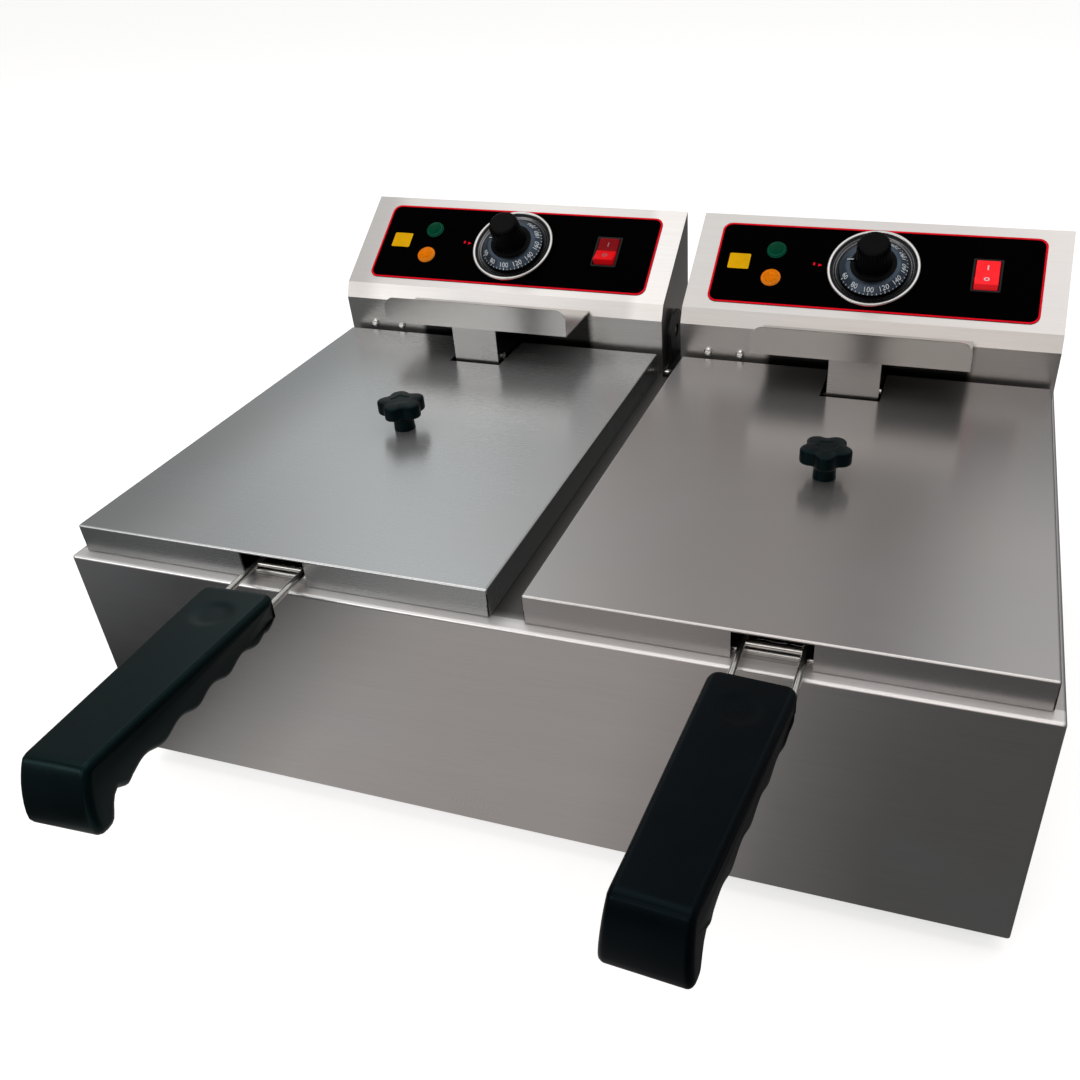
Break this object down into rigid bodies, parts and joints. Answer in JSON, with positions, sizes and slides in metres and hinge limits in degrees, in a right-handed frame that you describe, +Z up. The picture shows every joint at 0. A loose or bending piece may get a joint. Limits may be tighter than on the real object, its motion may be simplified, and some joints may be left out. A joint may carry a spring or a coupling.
{
  "type": "twin counter-top deep fryer",
  "caption": "Counter-top electric deep fryer: stainless sheet body with two lift-out oil tanks, each with control head, element, basket with black grip, and lid.",
  "frame": {"origin": "middle of the overall box in X and Y, at the plane the rubber feet stand on", "axes": "+X to the right seen from the front, +Y from the handles towards the control heads, +Z up"},
  "size_m": [0.55, 0.595, 0.2724],
  "materials": {
    "body_steel": "brushed, satin, bright along the folds",
    "lid_steel": "brushed across the width, satin",
    "tank_steel": "drawn stainless, semi-bright",
    "base_steel": "plain galvanised sheet",
    "bracket_steel": "dark steel strip",
    "element_steel": "heat-tinted sheath tube",
    "fastener": "bright zinc",
    "basket_wire": "nickel-plated wire",
    "copper": "copper capillary and bulbs",
    "bezel_metal": "polished rim, smoked dish",
    "black_plastic": "moulded, satin",
    "handle_plastic": "moulded heat-resistant plastic, satin",
    "rubber": "moulded rubber, matt",
    "panel_print": "black printed film with a thin red border",
    "green_lens": "moulded lens",
    "amber_lens": "moulded lens",
    "red_rocker": "translucent lit rocker",
    "red_plastic": "moulded",
    "ceramic": "glazed off-white block"
  },
  "bodies": {
    "body": {"body_shell": "body_steel", "base_plate": "base_steel", "feet": "rubber", "foot_screws": "fastener", "centre_bracket": "bracket_steel", "bracket_screws": "fastener"},
    "left_tank_body": {"left_tank": "tank_steel"},
    "left_head": {"left_head_casing": "body_steel", "left_head_cover": "body_steel", "left_panel": "panel_print", "left_head_bottom": "base_steel", "left_power_lamp": "green_lens", "left_heating_lamp": "amber_lens", "left_thermostat_bezel": "bezel_metal", "left_thermostat": "base_steel", "left_switch_frame": "black_plastic", "left_heating_element": "element_steel", "left_element_guard": "body_steel", "left_basket_hanger": "body_steel", "left_sensor_bulbs": "copper", "left_high_limit": "base_steel", "left_terminal_block": "ceramic", "left_cord_gland": "black_plastic", "left_head_screws": "fastener"},
    "left_dial": {"left_thermostat_knob": "black_plastic"},
    "left_rocker": {"left_switch_rocker": "red_rocker"},
    "left_reset": {"left_reset_button": "red_plastic"},
    "left_basket": {"left_basket_mesh": "basket_wire", "left_basket_frame": "basket_wire", "left_handle_grip": "handle_plastic"},
    "left_lid_body": {"left_lid": "lid_steel", "left_lid_knob": "black_plastic", "left_lid_stud": "fastener"},
    "right_tank_body": {"right_tank": "tank_steel"},
    "right_head": {"right_head_casing": "body_steel", "right_head_cover": "body_steel", "right_panel": "panel_print", "right_head_bottom": "base_steel", "right_power_lamp": "green_lens", "right_heating_lamp": "amber_lens", "right_thermostat_bezel": "bezel_metal", "right_thermostat": "base_steel", "right_switch_frame": "black_plastic", "right_heating_element": "element_steel", "right_element_guard": "body_steel", "right_basket_hanger": "body_steel", "right_sensor_bulbs": "copper", "right_high_limit": "base_steel", "right_terminal_block": "ceramic", "right_cord_gland": "black_plastic", "right_head_screws": "fastener"},
    "right_dial": {"right_thermostat_knob": "black_plastic"},
    "right_rocker": {"right_switch_rocker": "red_rocker"},
    "right_reset": {"right_reset_button": "red_plastic"},
    "right_basket": {"right_basket_mesh": "basket_wire", "right_basket_frame": "basket_wire", "right_handle_grip": "handle_plastic"},
    "right_lid_body": {"right_lid": "lid_steel", "right_lid_knob": "black_plastic", "right_lid_stud": "fastener"}
  },
  "joints": [
    {"name": "left_tank_lift", "type": "slide", "parent": "body", "child": "left_tank_body", "axis": [0, 0, 1], "range_m": [0, 0.14]},
    {"name": "left_head_lift", "type": "slide", "parent": "left_tank_body", "child": "left_head", "axis": [0, 0, 1], "range_m": [0, 0.125]},
    {"name": "left_basket_lift", "type": "slide", "parent": "left_head", "child": "left_basket", "axis": [0, 0, 1], "range_m": [0, 0.024]},
    {"name": "left_lid_draw", "type": "slide", "parent": "left_basket", "child": "left_lid_body", "axis": [0, -0.8688, 0.4952], "range_m": [0, 0.3]},
    {"name": "left_dial_turn", "type": "hinge", "parent": "left_head", "child": "left_dial", "pos_m": [-0.1395, 0.23873, 0.2502], "axis": [0, 0.559, -0.8292], "range_deg": [0, 290]},
    {"name": "left_rocker_tip", "type": "hinge", "parent": "left_head", "child": "left_rocker", "pos_m": [-0.0618, 0.24625, 0.23959], "axis": [1, 0, 0], "range_deg": [0, 16]},
    {"name": "left_reset_press", "type": "slide", "parent": "left_head", "child": "left_reset", "axis": [0, -1, 0], "range_m": [0, 0.002], "stiffness_N_per_m": 400},
    {"name": "right_tank_lift", "type": "slide", "parent": "body", "child": "right_tank_body", "axis": [0, 0, 1], "range_m": [0, 0.14]},
    {"name": "right_head_lift", "type": "slide", "parent": "right_tank_body", "child": "right_head", "axis": [0, 0, 1], "range_m": [0, 0.125]},
    {"name": "right_basket_lift", "type": "slide", "parent": "right_head", "child": "right_basket", "axis": [0, 0, 1], "range_m": [0, 0.024]},
    {"name": "right_lid_draw", "type": "slide", "parent": "right_basket", "child": "right_lid_body", "axis": [0, -0.8688, 0.4952], "range_m": [0, 0.3]},
    {"name": "right_dial_turn", "type": "hinge", "parent": "right_head", "child": "right_dial", "pos_m": [0.1395, 0.23873, 0.2502], "axis": [0, 0.559, -0.8292], "range_deg": [0, 290]},
    {"name": "right_rocker_tip", "type": "hinge", "parent": "right_head", "child": "right_rocker", "pos_m": [0.2172, 0.24625, 0.23959], "axis": [1, 0, 0], "range_deg": [0, 16]},
    {"name": "right_reset_press", "type": "slide", "parent": "right_head", "child": "right_reset", "axis": [0, -1, 0], "range_m": [0, 0.002], "stiffness_N_per_m": 400}
  ]
}
